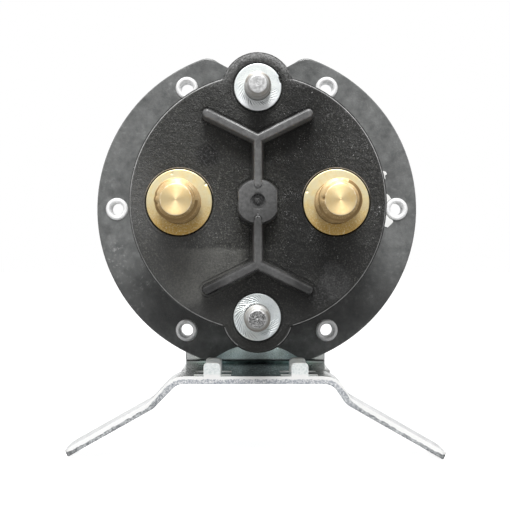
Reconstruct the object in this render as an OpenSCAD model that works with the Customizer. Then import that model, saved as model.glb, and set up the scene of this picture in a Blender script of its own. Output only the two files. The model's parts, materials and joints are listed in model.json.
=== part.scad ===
// Sealed solenoid relay for the motor of a hydraulic pump. A moulded terminal cap is riveted with
// six hollow eyelets to a drawn coil can, and a bent bracket between them carries two splayed feet
// that lie on a round motor body under a band clamp.
// The relay's axis is Y and its terminals point to -Y. Up is +Z. The origin lies midway between
// the main studs, in the plane where the cable lugs seat. Sizes are in millimetres.

/* [Terminal cap] */
// Diameter of the cap's round face
cap_d = 47.1; // [40:0.1:57]
// Depth from the cap's face to the front of its flange
cap_depth = 38; // [31.5:0.5:50]
// How much the side wall grows in radius from the face to the flange
cap_draft = 0.3; // [0:0.1:0.8]
// Thickness of the side wall at the face
cap_wall = 3.15; // [2:0.05:4]
// Thickness of the front wall
face_t = 4; // [3:0.1:6]
// Radius of the edge round the face
face_edge = 0.45; // [0.2:0.05:1]
// Width of the ledge that the mould's parting line leaves behind the edge
parting_w = 0.18; // [0.1:0.02:0.3]
// Radius of the two lobes that carry the coil terminals
lobe_r = 6.6; // [6:0.1:8]
// How far a lobe stands out of the round face
lobe_reach = 3.95; // [3:0.05:5]
// Radius of the edge round a lobe
lobe_edge = 1.2; // [0.2:0.1:1.5]
// Radius of the channel inside a lobe
channel_r = 4.6; // [4:0.1:5]

/* [Face ribs] */
// Width of a rib at its top
rib_top = 1.45; // [1:0.05:2]
// Width of a rib where it meets the face
rib_base = 2.2; // [2:0.05:3]
// Height of the ribs above the face
rib_h = 5; // [3:0.1:6]
// Height of each fork above or below the centre
fork_z = 11.3; // [9:0.1:13]
// Sideways reach of each forked arm
arm_x = 9.1; // [7:0.1:10]
// Rise of each forked arm
arm_rise = 4.5; // [3:0.1:6]
// Diameter of the centre hub's face
hub_d = 7.8; // [7:0.1:9]
// Width across the hub's two flats
hub_flats = 7; // [6:0.1:8]
// How far the hub's face lies below the top of the ribs
hub_drop = 0.3; // [0.1:0.1:1]
// How far a rib's pointed end runs in over the hub's face
rib_point = 2; // [1:0.1:2.5]
// Width of the witness groove that the mould's insert leaves beside the ribs
insert_w = 0.4; // [0.2:0.05:0.6]
// Depth of the witness groove
insert_h = 0.15; // [0.1:0.05:0.3]
// Diameter of the moulding gate's mark
gate_d = 2.7; // [2:0.1:3]

/* [Flange] */
// Thickness of the cap's flange
flange_t = 2; // [1.5:0.1:4]
// Rim of flange left outside the eyelets
flange_margin = 1.8; // [1:0.1:3]
// Radius of the notches at top and bottom
notch_r = 14.2; // [12:0.1:18]
// Radius of the flange's four horns
horn_r = 3.5; // [1:0.1:4]
// Thickness of the gasket
gasket_t = 0.6; // [0.4:0.1:1.5]

/* [Eyelets] */
// Number of eyelets
eyelet_count = 6; // [6]
// Diameter of the rolled rim
rim_d = 4.6; // [4:0.1:5]
// Diameter of the open bore
bore_d = 2.6; // [2.2:0.1:2.8]
// Wall of the eyelet's tube
eyelet_wall = 0.35; // [0.25:0.05:0.5]
// Gap between the cap's wall and the eyelets' rims
eyelet_gap = 2.75; // [1:0.05:4]

/* [Main terminals] */
// Diameter of a main stud
main_stud_d = 7.94; // [6:0.01:9.6]
// Length of a main stud in front of its collar
main_stud_len = 13.3; // [10:0.1:20]
// Diameter of a main stud's end face
main_tip_d = 5.6; // [4:0.1:5.9]
// Length of the chamfer at a main stud's end
main_chamfer = 1.5; // [0.5:0.1:2.5]
// Diameter of a brass collar
collar_d = 12; // [11.9:0.1:13.5]
// Thickness of a brass collar
collar_t = 2; // [1.5:0.1:2.2]
// How far a collar stands proud of the cap's face
collar_proud = 0.4; // [0.2:0.1:1]
// Radius of the contact head inside the cap
head_r = 5.8; // [5.2:0.1:6.4]
// Width across the head's flats
head_flats = 9.8; // [9:0.1:10]
// Thickness of the contact head
head_t = 3.2; // [2:0.1:5]
// Height of the inner boss that carries the head
boss_h = 7.5; // [5:0.1:9]

/* [Coil terminals] */
// Diameter of a coil stud
coil_stud_d = 4.83; // [4:0.01:5.8]
// Length of a coil stud in front of its washer
coil_stud_len = 7.6; // [5:0.1:12]
// Diameter of a coil stud's end face
coil_tip_d = 3.2; // [2.5:0.1:3.6]
// Length of the chamfer at a coil stud's end
coil_chamfer = 0.9; // [0.4:0.1:1.5]
// Diameter of a serrated washer
coil_washer_d = 8.7; // [8.2:0.1:9.5]
// Thickness of a serrated washer
coil_washer_t = 0.9; // [0.5:0.1:1.5]
// Width of the square head inside the lobe
coil_head_w = 6.2; // [6:0.1:6.4]
// Thickness of the square head
coil_head_t = 2.6; // [1.5:0.1:4]

/* [Bridge and springs] */
// Open gap between the bridge and the contact heads
contact_gap = 2.22; // [1:0.01:3]
// Further travel of the plunger after the contacts close
overtravel = 0.78; // [0.4:0.01:1.2]
// Radius of the contact disc
disc_r = 16.6; // [14:0.1:17]
// Thickness of the contact disc
disc_t = 2; // [1:0.1:3]
// Length of the contact spring as fitted
contact_spring_len = 8; // [6:0.1:9]
// Wire of the contact spring
contact_wire = 1; // [0.6:0.1:1.1]
// Wire of the return spring
return_wire = 0.8; // [0.5:0.1:0.9]

/* [Coil and plunger] */
// Radius of the plunger
plunger_r = 7.6; // [6.3:0.1:9.2]
// Radius of the shaft in the pole core
shaft_r = 3; // [2.6:0.1:3.2]
// Radius of the shaft's front end
shaft_tip_r = 2; // [1.6:0.1:2.2]
// Length of the fixed pole core
core_len = 10; // [9:0.1:14]
// Length of the bobbin
bobbin_len = 23.5; // [20:0.5:35]
// Thickness of the front and rear flux plates
flux_t = 2.5; // [2:0.1:4]
// Sheet of the drawn coil can
can_t = 1.2; // [0.8:0.1:1.6]
// Outer corner radius of the can's closed end
can_corner = 2.5; // [1.5:0.1:4]
// Radius of a coil lead
lead_r = 0.6; // [0.4:0.1:0.7]

/* [Bracket] */
// Sheet of the bracket
sheet_t = 1.5; // [1:0.1:2]
// Inner radius of the bend between upright and leg
bend_r = 1; // [0.5:0.1:1.2]
// Inner radius of the feet's bends
foot_bend_r = 2.7; // [1:0.1:3]
// Width of the horizontal leg
leg_w = 29.1; // [26:0.1:32]
// Sideways offset of the leg and its feet
leg_shift = -0.3; // [-0.5:0.1:0.5]
// How far the leg's near edge lies behind the cap's face
near_edge = 5.5; // [3:0.1:10]
// Gap between the flange's horns and the leg
leg_gap = 0.5; // [0.2:0.1:2]
// Depth of the strip that forms the feet
foot_depth = 14.3; // [14:0.1:18]
// Width of the band clamp that the guide tabs hold
band_w = 12.7; // [9:0.1:12.7]
// Width of a guide tab
tab_w = 3.2; // [2.5:0.1:4]
// Height of a guide tab above the leg
tab_h = 2.5; // [1.5:0.1:3]
// Distance between the two tabs of a pair
tab_pitch = 16.3; // [15:0.1:18]
// Width of the slot that each tab is cut from
slot_w = 6.9; // [5:0.1:8]
// Length of the slot that each tab is cut from
slot_len = 4.3; // [3:0.1:4.5]

/* [Left foot] */
// Distance from the leg's middle to the first bend
left_flat = 13.5; // [12:0.05:15]
// Angle of the steep run below the horizontal
left_steep = 46; // [35:1:70]
// Length of the steep run
left_drop = 4.6; // [1:0.1:8]
// Angle of the foot's pad below the horizontal
left_splay = 29.4; // [20:0.1:34]
// Length of the foot's pad
left_pad = 17.7; // [12:0.1:25]

/* [Right foot] */
// Distance from the leg's middle to the first bend
right_flat = 12.75; // [12:0.05:15]
// Angle of the steep run below the horizontal
right_steep = 56; // [35:1:70]
// Length of the steep run
right_drop = 2.1; // [1:0.1:8]
// Angle of the foot's pad below the horizontal
right_splay = 29.7; // [20:0.1:34]
// Length of the foot's pad
right_pad = 19.9; // [12:0.1:25]

/* [Hidden] */
$fn = 96;

// Clearances and small fixed sizes
slip = 0.05;             // two fixed pieces, one inside the other
run_gap = 0.08;          // a sliding piece in its bore
collar_gap = 0.25;       // collar in its recess
lip_w = 0.4;             // raised lip round a terminal's recess
lip_h = 0.15;
head_gap = 0.3;          // contact head to the chamber's wall
notch_gap = 0.1;         // lobe to the notch of the flange
spigot_gap = 0.2;        // cap's spigot in the mouth of the can
spigot_wall = 1.6;
spigot_h = 2;
step_w = 0.6;            // ledge that the divider seats on
stop_gap = 0.15;         // plunger to core when pulled in, and to the can at rest
can_inset = 1;           // can's flange and bracket inside the edge of the cap's flange
washer_sink = 0.2;       // serrated washer in the lobe's face
seal_wire = 1.2;         // main seal's section
coil_seal_wire = 0.9;    // coil seal's section
shoulder = 0.2;          // a stud's shank outside its thread, so that collar and washer slip over the thread
can_throat = 0.8;        // inner radius where the can's wall turns into its flange
eyelet_roll = 0.5;       // height of an eyelet's rolled rim
clip_t = 0.8;
clip_mouth = 2.8;        // opening of the retaining clip
groove = 0.5;            // depth of the clip's groove
insulator_t = 1;
seat_t = 0.8;
divider_t = 1.5;
divider_gap = 3.35;      // spring seat to the divider
wrap_t = 0.3;
bobbin_wall = 0.9;
bobbin_flange = 1.5;
tube_wall = 0.42;
spring_washer_t = 0.8;
spring_fit = 0.5;        // spring to the bores and shafts round it
spring_pocket = 6;       // depth of the return spring's pocket in the core
plunger_pocket = 3;      // depth of the return spring's pocket in the plunger

// Radii, from the cap's face outwards and inwards
cap_r = cap_d / 2;
chamber_r = cap_r - cap_wall;
rear_r = chamber_r + step_w;
spigot_r = rear_r + spigot_wall;
can_in_r = spigot_r + spigot_gap;
can_r = can_in_r + can_t;
main_x = chamber_r - head_gap - head_r;
coil_z = cap_r + lobe_reach - lobe_r;
rim_r = rim_d / 2;
eyelet_r = cap_r + cap_draft + eyelet_gap + rim_r;
eyelet_out_r = bore_d / 2 + eyelet_wall;
flange_r = eyelet_r + rim_r + flange_margin;
notch_z = cap_r + lobe_reach + cap_draft + notch_gap + notch_r;
horn_z = (flange_r * flange_r + notch_z * notch_z - notch_r * notch_r) / (2 * notch_z);
plate_r = can_in_r - spigot_gap;
main_r = main_stud_d / 2;
coil_r = coil_stud_d / 2;
main_shank_r = main_r + shoulder;
coil_shank_r = coil_r + shoulder;
seal_r = main_shank_r + slip + seal_wire / 2;
coil_seal_r = coil_shank_r + slip + coil_seal_wire / 2;
tube_in_r = plunger_r + run_gap;
tube_r = tube_in_r + tube_wall;
bobbin_in_r = tube_r + slip;
bobbin_r = bobbin_in_r + bobbin_wall;
lead_z = can_in_r - 1 - lead_r;
wrap_r = lead_z - lead_r - 2 * slip;
winding_r = wrap_r - wrap_t;
contact_coil_r = shaft_tip_r + spring_fit + contact_wire / 2 + 1.6;
return_coil_r = shaft_r + spring_fit + return_wire / 2 + 0.5;
pocket_r = return_coil_r + return_wire / 2 + spring_fit;
sleeve_r = shaft_tip_r + 1.6;
core_neck_r = shaft_r + 3;

// Stations along the axis, from the lug plane backwards
stroke = contact_gap + overtravel;
face_y = collar_proud;
wall_y = face_y + face_t;
head_y = wall_y + boss_h;
contact_y = head_y + head_t;
disc_y = contact_y + contact_gap + 0.03;
insulator_y = disc_y - insulator_t;
clip_y = insulator_y - clip_t;
rear_insulator_y = disc_y + disc_t;
spring_y = rear_insulator_y + 1.5 * insulator_t;
seat_y = spring_y + contact_spring_len;
shoulder_y = seat_y + seat_t;
divider_y = shoulder_y + divider_gap;
flange_y = face_y + cap_depth;
gasket_y = flange_y + flange_t;
can_y = gasket_y + gasket_t;
upright_y = can_y + can_t;
stack_end_y = upright_y + sheet_t;
flux_y = gasket_y + spigot_h;
bobbin_y = flux_y + flux_t;
rear_flux_y = bobbin_y + bobbin_len;
spring_washer_y = rear_flux_y + flux_t;
can_floor_y = spring_washer_y + spring_washer_t;
can_end_y = can_floor_y + can_t;
core_end_y = bobbin_y + core_len;
plunger_y = core_end_y + stroke + stop_gap;
plunger_end_y = can_floor_y - stop_gap;
shaft_front_y = wall_y - 2;
guide_end_y = wall_y + 5.6;
guide_floor_y = shaft_front_y - stroke - 1;
hub_y = face_y - rib_h + hub_drop;
washer_y = face_y + washer_sink - coil_washer_t;

// Ends of the six straight ribs as [x, z]: two on the axis, from hub to fork, and four arms
rib_lines = [
    for (mz = [-1, 1]) [[0, mz * (hub_d / 2 - rib_top / 2)], [0, mz * fork_z]],
    for (mx = [-1, 1], mz = [-1, 1]) [[0, mz * fork_z], [mx * arm_x, mz * (fork_z + arm_rise)]]
];

// Bracket
leg_top_z = -(horn_z + leg_gap);
leg_z = leg_top_z - sheet_t;
near_y = face_y + near_edge;
band_gap = 0.1;          // play of the band between the front and rear tabs
rear_tab_y = near_y + sheet_t + band_w + band_gap;
relief = 1;              // bend relief beside the feet
foot_corner = 1;         // cut corners at a foot's free end
tab_corner = 0.8;        // rounded top corners of a guide tab

// Turns drawing along Z into drawing along the relay's axis
module along_axis(y = 0) translate([0, y, 0]) rotate([-90, 0, 0]) children();

// A solid of revolution whose profile is drawn as [radius, y]
module turned() along_axis() rotate_extrude() children();

// A round bar from y0 to y1, cylindrical or conical
module rod(r, y0, y1, r_end = -1)
    along_axis(y0) cylinder(h = y1 - y0, r1 = r, r2 = r_end < 0 ? r : r_end);

// A plate whose outline is drawn as [x, z]
module plate(y0, y1) translate([0, y1, 0]) rotate([90, 0, 0]) linear_extrude(y1 - y0) children();

// Copies at the coil terminals above and below the axis
module at_lobes() for (s = [1, -1]) translate([0, 0, s * coil_z]) children();

// Copies at the two main terminals
module at_mains() for (s = [-1, 1]) translate([s * main_x, 0, 0]) children();

// Copies at the eyelets, one of them on +X
module at_eyelets()
    for (i = [0 : eyelet_count - 1]) rotate([0, i * 360 / eyelet_count, 0]) translate([eyelet_r, 0, 0])
        children();

// Profile of a drafted boss with a rounded front edge and the parting line's ledge behind it
module boss_profile(r, edge) {
    inner = r - parting_w;
    polygon([
        [0, face_y], [inner - edge, face_y], [inner, face_y + edge], [r, face_y + edge],
        [r + cap_draft, flange_y], [0, flange_y]
    ]);
    translate([inner - edge, face_y + edge]) circle(edge);
}

// Disc with an arc cut from its top and bottom and its four horns rounded
module notched_disc(inset, notch_inset) {
    r = flange_r - inset;
    n = notch_r + notch_inset;
    a = r - horn_r;
    b = n + horn_r;
    cz = (a * a + notch_z * notch_z - b * b) / (2 * notch_z);
    c = [sqrt(a * a - cz * cz), cz];
    on_rim = 3 * horn_r * c / a;
    on_notch = 3 * horn_r * ([0, notch_z] - c) / b;
    difference() {
        circle(r);
        for (s = [-1, 1]) translate([0, s * notch_z]) circle(n);
        for (mx = [0, 1], mz = [0, 1]) mirror([mx, 0]) mirror([0, mz])
            polygon([c, c + on_rim, c + on_rim + on_notch, c + on_notch]);
    }
    for (mx = [-1, 1], mz = [-1, 1]) translate([mx * c[0], mz * c[1]]) circle(horn_r);
}

// Holes for the eyelets in a plate's outline
module eyelet_holes()
    for (i = [0 : eyelet_count - 1]) rotate(i * 360 / eyelet_count) translate([eyelet_r, 0])
        circle(eyelet_out_r + slip);

// One drafted rib with conical ends, from p to q on the cap's face
module rib(p, q) {
    d = q - p;
    translate([p[0], face_y, p[1]]) rotate([0, -atan2(d[1], d[0]), 0]) {
        rotate([90, 0, 90]) linear_extrude(norm(d)) {
            polygon([[-rib_h, -rib_top / 2], [0, -rib_base / 2], [0, rib_base / 2], [-rib_h, rib_top / 2]]);
            translate([-insert_h, -rib_base / 2]) square([2 * insert_h, rib_base]);
        }
        for (x = [0, norm(d)]) translate([x, 0, 0]) {
            rod(rib_top / 2, -rib_h, 0, rib_base / 2);
            rod(rib_base / 2, -insert_h / 2, insert_h);
        }
    }
}

// The strip of face that the mould's insert prints round a rib
module rib_print(p, q) {
    d = q - p;
    r = rib_base / 2 + insert_w;
    translate([p[0], 0, p[1]]) rotate([0, -atan2(d[1], d[0]), 0]) {
        translate([0, face_y - 1, -r]) cube([norm(d), 1 + insert_h, 2 * r]);
        for (x = [0, norm(d)]) translate([x, 0, 0]) rod(r, face_y - 1, face_y + insert_h);
    }
}

// The hub's drafted round with its two flats, grown by a margin
module hub(margin, y0, y1) intersection() {
    rod(hub_d / 2 + margin, y0, y1, hub_d / 2 + 0.4 + margin);
    translate([-hub_flats / 2 - margin, y0 - 1, -hub_d]) cube([hub_flats + 2 * margin, y1 - y0 + 2, 2 * hub_d]);
}

// Helical spring with closed end turns, between y0 and y1
module helix(mean_r, wire, y0, y1, turns) {
    per_turn = 24;
    sides = 8;
    closed = wire * 1.06;
    pitch = (y1 - y0 - wire - 2 * closed) / (turns - 2);
    steps = turns * per_turn;
    function rise(t) = t < 1 ? closed * t
        : t < turns - 1 ? closed + pitch * (t - 1)
        : closed + pitch * (turns - 2) + closed * (t - turns + 1);
    points = [for (i = [0 : steps], k = [0 : sides - 1])
        let (t = i / per_turn, a = 360 * t, b = 360 * (k + 0.5) / sides, r = mean_r + wire / 2 * cos(b))
        [r * cos(a), y0 + wire / 2 + rise(t) + wire / 2 * sin(b), r * sin(a)]];
    walls = [for (i = [0 : steps - 1], k = [0 : sides - 1])
        let (m = (k + 1) % sides, j = i * sides, n = j + sides)
        each [[j + k, n + k, n + m], [j + k, n + m, j + m]]];
    first = [for (k = [0 : sides - 1]) k];
    last = [for (k = [sides - 1 : -1 : 0]) steps * sides + k];
    polyhedron(points, concat([first], walls, [last]));
}

// Hollow inside of the cap
module cap_cavity() {
    rod(chamber_r, wall_y, divider_y + slip);
    rod(rear_r, divider_y, flux_y + 1);
    at_lobes() rod(channel_r, wall_y, flux_y + 1);
}

// Everything that is cut through the cap's finished walls
module cap_holes() {
    at_mains() {
        rod(collar_d / 2 + collar_gap, -rib_h, collar_t);
        rod(seal_r + seal_wire / 2 + 2 * slip, 0, collar_t + seal_wire);
        rod(main_shank_r + slip, 0, head_y + 1);
    }
    at_lobes() {
        rod(coil_washer_d / 2 + collar_gap, -rib_h, face_y + washer_sink);
        rod(coil_seal_r + coil_seal_wire / 2 + 2 * slip, 0, face_y + washer_sink + coil_seal_wire);
        rod(coil_shank_r + slip, 0, wall_y + 1);
    }
    rod(shaft_tip_r + run_gap, guide_floor_y, guide_end_y + 1);
    difference() {
        rod(gate_d / 2, hub_y - 1, hub_y + 0.4);
        rod(gate_d / 5, hub_y - 2, hub_y + 1);
    }
}

module terminal_cap() color("#1c1c1d") difference() {
    union() {
        difference() {
            union() {
                turned() boss_profile(cap_r, face_edge);
                at_lobes() turned() boss_profile(lobe_r, lobe_edge);
                plate(flange_y, gasket_y) difference() {
                    notched_disc(0, 0);
                    eyelet_holes();
                }
                rod(spigot_r, gasket_y - 1, flux_y);
            }
            cap_cavity();
            for (line = rib_lines) rib_print(line[0], line[1]);
            hub(insert_w, face_y - 1, face_y + insert_h);
        }
        // Ribs, hub, and the ribs' pointed ends on the hub's face
        for (line = rib_lines) rib(line[0], line[1]);
        hub(0, hub_y, face_y + insert_h);
        for (s = [-1, 1]) plate(hub_y - hub_drop, hub_y + 1)
            polygon([
                [-rib_top / 2, s * hub_d / 2], [rib_top / 2, s * hub_d / 2], [0, s * (hub_d / 2 - rib_point)]
            ]);
        at_mains() rod(collar_d / 2 + collar_gap + lip_w, face_y - lip_h, face_y + 1);
        at_lobes() rod(coil_washer_d / 2 + collar_gap + lip_w, face_y - lip_h, face_y + 1);
        // Bosses inside, with stops that keep the contact heads from turning
        rod(shaft_tip_r + 2.6, wall_y - 1, guide_end_y);
        at_mains() rod(head_r + 0.6, wall_y - 1, head_y);
        at_mains() for (s = [-1, 1]) translate([-3, head_y - 1, s * (head_flats / 2 + 0.6) - 0.5])
            cube([6, 3, 1]);
        at_lobes() for (s = [-1, 1]) translate([s * (coil_head_w / 2 + 0.6) - 0.5, wall_y - 1, -2])
            cube([1, 3, 4]);
    }
    cap_holes();
}

module cap_gasket() color("#2b2b2b") plate(gasket_y, can_y) difference() {
    notched_disc(0.6, 0);
    circle(rear_r + spigot_wall + 0.6);
    for (s = [-1, 1]) translate([0, s * coil_z]) circle(channel_r + 0.3);
    eyelet_holes();
}

// Deep-drawn cup with a flange, its inner and outer corners rounded as drawn sheet is
module coil_can() color("#b9bdc2") {
    throat = can_throat + can_t;
    difference() {
        union() {
            plate(can_y, upright_y) difference() {
                notched_disc(can_inset, 0.2);
                eyelet_holes();
            }
            rod(can_r, can_y, can_end_y - can_corner);
            turned() difference() {
                translate([0, upright_y - slip]) square([can_r + can_throat, can_throat + slip]);
                translate([can_r + can_throat, upright_y + can_throat]) circle(can_throat);
            }
            turned() {
                translate([0, can_end_y - can_corner]) square([can_r - can_corner, can_corner]);
                translate([can_r - can_corner, can_end_y - can_corner]) circle(can_corner);
            }
        }
        rod(can_in_r, can_y - 1, can_floor_y - can_corner + can_t);
        turned() {
            translate([0, can_floor_y - can_corner]) square([can_in_r - can_corner + can_t, can_corner]);
            translate([can_r - can_corner, can_end_y - can_corner]) circle(can_corner - can_t);
        }
        turned() difference() {
            translate([can_in_r - slip, can_y - 1]) square([throat + slip, throat + 1]);
            translate([can_in_r + throat, can_y + throat]) circle(throat);
        }
    }
}

// Direction along a run that slopes down by an angle, and its upward normal, as [x, z]
function along(angle) = [cos(angle), -sin(angle)];
function up(angle) = [sin(angle), cos(angle)];

// One side of a foot's bent sheet, h above its lower side, from the middle of the leg to the tip:
// flat, bend down, steep run, bend back up, pad
function foot_edge(h, flat, steep, drop, splay, pad) = let (
    first = [flat, -foot_bend_r],
    second = first + foot_bend_r * up(steep) + drop * along(steep) + (sheet_t + foot_bend_r) * up(steep),
    steps = 8
) concat(
    [[0, h]],
    [for (i = [0 : steps]) first + (foot_bend_r + h) * up(steep * i / steps)],
    [for (i = [0 : steps])
        second - (foot_bend_r + sheet_t - h) * up(steep + (splay - steep) * i / steps)],
    [second - (foot_bend_r + sheet_t - h) * up(splay) + pad * along(splay)]
);

// A splayed foot: steep drop, then a shallow pad with cut corners that lies on the motor
module foot(flat, steep, drop, splay, pad) {
    lower = foot_edge(0, flat, steep, drop, splay, pad);
    upper = foot_edge(sheet_t, flat, steep, drop, splay, pad);
    last = len(upper) - 1;
    tip = upper[last][0];
    difference() {
        plate(near_y, near_y + foot_depth) translate([0, leg_z])
            polygon(concat(lower, [for (i = [last : -1 : 0]) upper[i]]));
        for (end = [0, 1]) translate([tip, near_y + end * foot_depth, 2 * leg_z]) mirror([0, end, 0])
            linear_extrude(-2 * leg_z) polygon([[-foot_corner - 1, -1], [1, -1], [1, foot_corner + 1]]);
    }
}

// Guide tab with rounded top corners, its front face at y
module guide_tab(y) plate(y, y + sheet_t) translate([-tab_w / 2, leg_z]) {
    square([tab_w, sheet_t + tab_h - tab_corner]);
    translate([tab_corner, 0]) square([tab_w - 2 * tab_corner, sheet_t + tab_h]);
    for (x = [tab_corner, tab_w - tab_corner]) translate([x, sheet_t + tab_h - tab_corner])
        circle(tab_corner);
}

module bracket() color("#c3c8cc") difference() {
    union() {
        // Upright ring behind the can's flange
        plate(upright_y, stack_end_y) difference() {
            intersection() {
                union() {
                    notched_disc(can_inset, 0.2);
                    translate([leg_shift - leg_w / 2, leg_top_z]) square([leg_w, -leg_top_z]);
                }
                translate([-flange_r, leg_top_z + bend_r]) square([2 * flange_r, 2 * flange_r]);
            }
            circle(can_r + can_throat + 0.3);
            eyelet_holes();
        }
        translate([leg_shift, 0, 0]) {
            // Bend between the upright and the leg
            translate([-leg_w / 2, upright_y - bend_r, leg_top_z + bend_r]) rotate([0, 90, 0])
                rotate_extrude(angle = 90) translate([bend_r, 0]) square([sheet_t, leg_w]);
            // Horizontal leg
            translate([-leg_w / 2, near_y + foot_depth, leg_z])
                cube([leg_w, upright_y - bend_r - near_y - foot_depth, sheet_t]);
            foot(right_flat, right_steep, right_drop, right_splay, right_pad);
            mirror([1, 0, 0]) foot(left_flat, left_steep, left_drop, left_splay, left_pad);
            for (s = [-1, 1]) translate([s * tab_pitch / 2, 0, 0]) {
                guide_tab(near_y);
                guide_tab(rear_tab_y);
            }
        }
    }
    translate([leg_shift, 0, leg_z]) {
        for (s = [-1, 1], y = [near_y + sheet_t, rear_tab_y - slot_len])
            translate([s * tab_pitch / 2 - slot_w / 2, y, -1]) cube([slot_w, slot_len, sheet_t + 2]);
        for (s = [-1, 1]) translate([s * leg_w / 2 - relief, near_y + foot_depth, -1])
            cube([2 * relief, relief, sheet_t + 2]);
    }
}

// Hollow rivet, rolled over at both ends
module eyelets() color("#d9dbdd") at_eyelets() turned() {
    translate([bore_d / 2, flange_y]) square([eyelet_wall, stack_end_y - flange_y]);
    for (end = [0, 1]) translate([0, end * (flange_y + stack_end_y)]) mirror([0, end])
        intersection() {
            translate([(bore_d / 2 + rim_r) / 2, flange_y]) circle((rim_r - bore_d / 2) / 2);
            translate([0, flange_y - eyelet_roll]) square([rim_r, eyelet_roll]);
        }
}

// Brass stud whose head inside the cap is the fixed contact
module main_terminal() {
    turned() polygon([
        [0, -main_stud_len], [main_tip_d / 2, -main_stud_len], [main_r, main_chamfer - main_stud_len],
        [main_r, 0], [main_shank_r, 0], [main_shank_r, head_y], [0, head_y]
    ]);
    intersection() {
        rod(head_r, head_y, contact_y);
        translate([-head_r, head_y, -head_flats / 2]) cube([2 * head_r, head_t, head_flats]);
    }
}

module main_terminal_left() color("#b5893c") translate([-main_x, 0, 0]) main_terminal();

module main_terminal_right() color("#b5893c") translate([main_x, 0, 0]) main_terminal();

module main_collars() color("#c09a4f") at_mains() difference() {
    rod(collar_d / 2, 0, collar_t);
    rod(main_shank_r + slip / 2, -1, collar_t + 1);
}

module main_seals() color("#33261f") at_mains()
    turned() translate([seal_r, collar_t + seal_wire / 2]) circle(seal_wire / 2);

// Steel stud with a square head that is soldered to the coil's lead
module coil_stud() {
    tip_y = washer_y - coil_stud_len;
    turned() polygon([
        [0, tip_y], [coil_tip_d / 2, tip_y], [coil_r, tip_y + coil_chamfer], [coil_r, washer_y],
        [coil_shank_r, washer_y], [coil_shank_r, wall_y], [0, wall_y]
    ]);
    translate([-coil_head_w / 2, wall_y, -coil_head_w / 2]) cube([coil_head_w, coil_head_t, coil_head_w]);
}

module coil_stud_top() color("#a9adb1") translate([0, 0, coil_z]) coil_stud();

module coil_stud_bottom() color("#a9adb1") translate([0, 0, -coil_z]) coil_stud();

module coil_washers() color("#c9cccf") at_lobes() difference() {
    rod(coil_washer_d / 2, washer_y, face_y + washer_sink);
    rod(coil_shank_r + slip / 2, washer_y - 1, face_y + 1);
}

module coil_seals() color("#33261f") at_lobes()
    turned() translate([coil_seal_r, face_y + washer_sink + coil_seal_wire / 2]) circle(coil_seal_wire / 2);

module coil_lead_top() color("#8c3b1e") translate([0, 0, lead_z])
    rod(lead_r, wall_y + coil_head_t, bobbin_y + bobbin_flange + 5);

module coil_lead_bottom() color("#8c3b1e") translate([0, 0, -lead_z])
    rod(lead_r, wall_y + coil_head_t, bobbin_y + bobbin_flange + 5);

module contact_disc() color("#c46f3a") difference() {
    rod(disc_r, disc_y, disc_y + disc_t);
    rod(sleeve_r + slip, disc_y - 1, disc_y + disc_t + 1);
}

module insulator_front() color("#7b2f22") difference() {
    rod(sleeve_r + 2.2, insulator_y, disc_y);
    rod(shaft_tip_r + run_gap, insulator_y - 1, disc_y + 1);
}

// Insulating washer whose sleeve keeps the disc off the shaft
module insulator_rear() color("#7b2f22") difference() {
    union() {
        rod(sleeve_r + 2.9, rear_insulator_y, spring_y);
        rod(sleeve_r, disc_y, spring_y);
    }
    rod(shaft_tip_r + run_gap, disc_y - 1, spring_y + 1);
}

module contact_spring() color("#8f9499")
    helix(contact_coil_r, contact_wire, spring_y, seat_y, 5);

module spring_seat() color("#9ba0a5") difference() {
    rod(contact_coil_r + contact_wire + 0.6, seat_y, shoulder_y);
    rod(shaft_tip_r + slip / 2, seat_y - 1, shoulder_y + 1);
}

// Open retaining ring in the shaft's groove
module shaft_clip() color("#4a4d50") difference() {
    rod(shaft_tip_r + 2, clip_y, insulator_y);
    rod(shaft_tip_r - groove + slip / 2, clip_y - 1, insulator_y + 1);
    translate([-clip_mouth / 2, clip_y - 1, 0]) cube([clip_mouth, clip_t + 2, shaft_tip_r + 3]);
}

module plunger_shaft() color("#a7abae") turned() polygon([
    [0, shaft_front_y], [shaft_tip_r - 0.4, shaft_front_y], [shaft_tip_r, shaft_front_y + 0.4],
    [shaft_tip_r, clip_y], [shaft_tip_r - groove, clip_y], [shaft_tip_r - groove, insulator_y],
    [shaft_tip_r, insulator_y], [shaft_tip_r, shoulder_y], [shaft_r, shoulder_y],
    [shaft_r, plunger_end_y - 0.5], [0, plunger_end_y - 0.5]
]);

module plunger() color("#8d9296") difference() {
    turned() polygon([
        [0, plunger_y], [plunger_r - 0.4, plunger_y], [plunger_r, plunger_y + 0.4],
        [plunger_r, plunger_end_y - 0.4], [plunger_r - 0.4, plunger_end_y], [0, plunger_end_y]
    ]);
    rod(shaft_r, plunger_y - 1, plunger_end_y + 1);
    rod(pocket_r, plunger_y - 1, plunger_y + plunger_pocket);
}

module return_spring() color("#8f9499")
    helix(return_coil_r, return_wire, core_end_y - spring_pocket, plunger_y + plunger_pocket, 7);

// Moulded plate and skirt between the contact chamber and the coil
module chamber_divider() color("#5e5a4d") difference() {
    rod(rear_r - slip, divider_y + slip, flux_y);
    rod(rear_r - 1.4, divider_y + divider_t, flux_y + 1);
    rod(shaft_r + 0.4, divider_y - 1, flux_y);
    for (s = [-1, 1]) translate([0, 0, s * lead_z]) rod(lead_r + 0.6, divider_y - 1, flux_y + 1);
}

// Steel plates that close the magnetic circuit in front of and behind the coil
module flux_plate(y, hole_r) difference() {
    rod(plate_r, y, y + flux_t);
    rod(hole_r, y - 1, y + flux_t + 1);
}

module front_flux_plate() color("#9da2a7") difference() {
    flux_plate(flux_y, core_neck_r + slip / 2);
    for (s = [-1, 1]) translate([0, 0, s * lead_z]) rod(lead_r + 0.5, flux_y - 1, bobbin_y + 1);
}

module rear_flux_plate() color("#9da2a7") flux_plate(rear_flux_y, tube_r + slip);

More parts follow.
